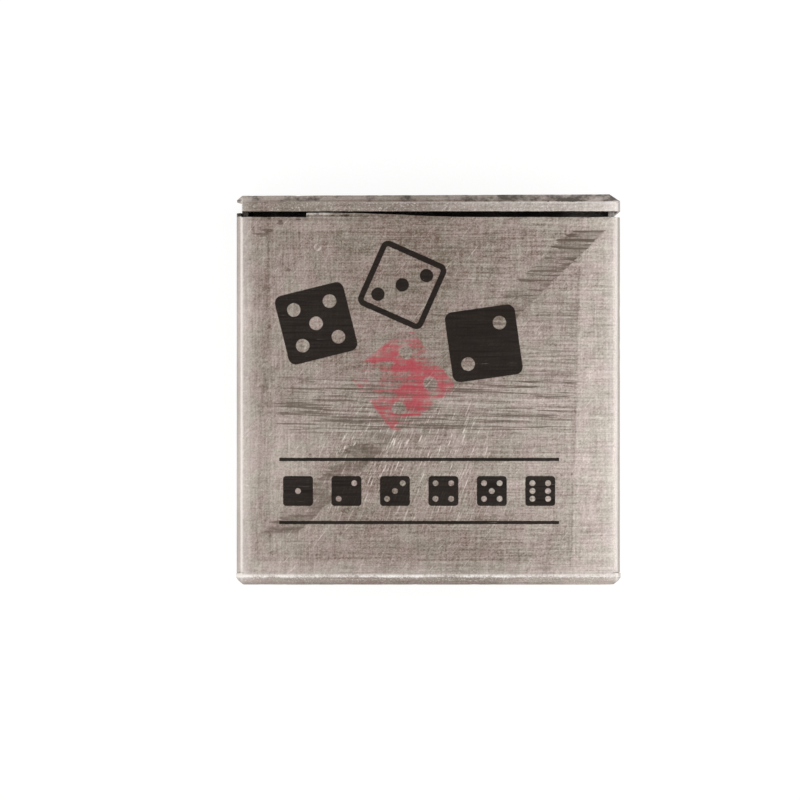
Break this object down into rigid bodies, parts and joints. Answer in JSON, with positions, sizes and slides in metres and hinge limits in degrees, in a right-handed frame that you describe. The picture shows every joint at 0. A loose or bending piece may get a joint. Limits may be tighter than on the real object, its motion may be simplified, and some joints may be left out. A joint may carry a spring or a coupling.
{
  "type": "dice game in a sheet-metal drawer case",
  "caption": "Square pocket case of folded sheet metal: a sleeve with a drawer that slides out, holding small dice in two colours and a folded leaflet.",
  "frame": {"origin": "centre of the footprint, on the surface the case lies on", "axes": "+Z out of the worn face, +Y towards the drawer's end cap, +X to the right as the face is seen with the cap at the top"},
  "size_m": [0.05, 0.051, 0.0131],
  "materials": {
    "tinplate": "sanded, worn",
    "dark_tin": "mill finish, dulled",
    "ivory_resin": "polished",
    "red_resin": "polished",
    "paper": "uncoated"
  },
  "bodies": {
    "case": {"sleeve": "tinplate"},
    "drawer": {"tray": "dark_tin", "end_cap": "tinplate", "rules_leaflet": "paper", "ivory_die_1": "ivory_resin", "ivory_die_2": "ivory_resin", "ivory_die_3": "ivory_resin", "ivory_die_4": "ivory_resin", "ivory_die_5": "ivory_resin", "ivory_die_6": "ivory_resin", "ivory_die_7": "ivory_resin", "ivory_die_8": "ivory_resin", "red_die_1": "red_resin", "red_die_2": "red_resin", "red_die_3": "red_resin", "red_die_4": "red_resin", "red_die_5": "red_resin", "red_die_6": "red_resin", "red_die_7": "red_resin", "red_die_8": "red_resin"}
  },
  "joints": [
    {"name": "drawer_slide", "type": "slide", "parent": "case", "child": "drawer", "axis": [0, 1, 0], "range_m": [0, 0.049]}
  ]
}
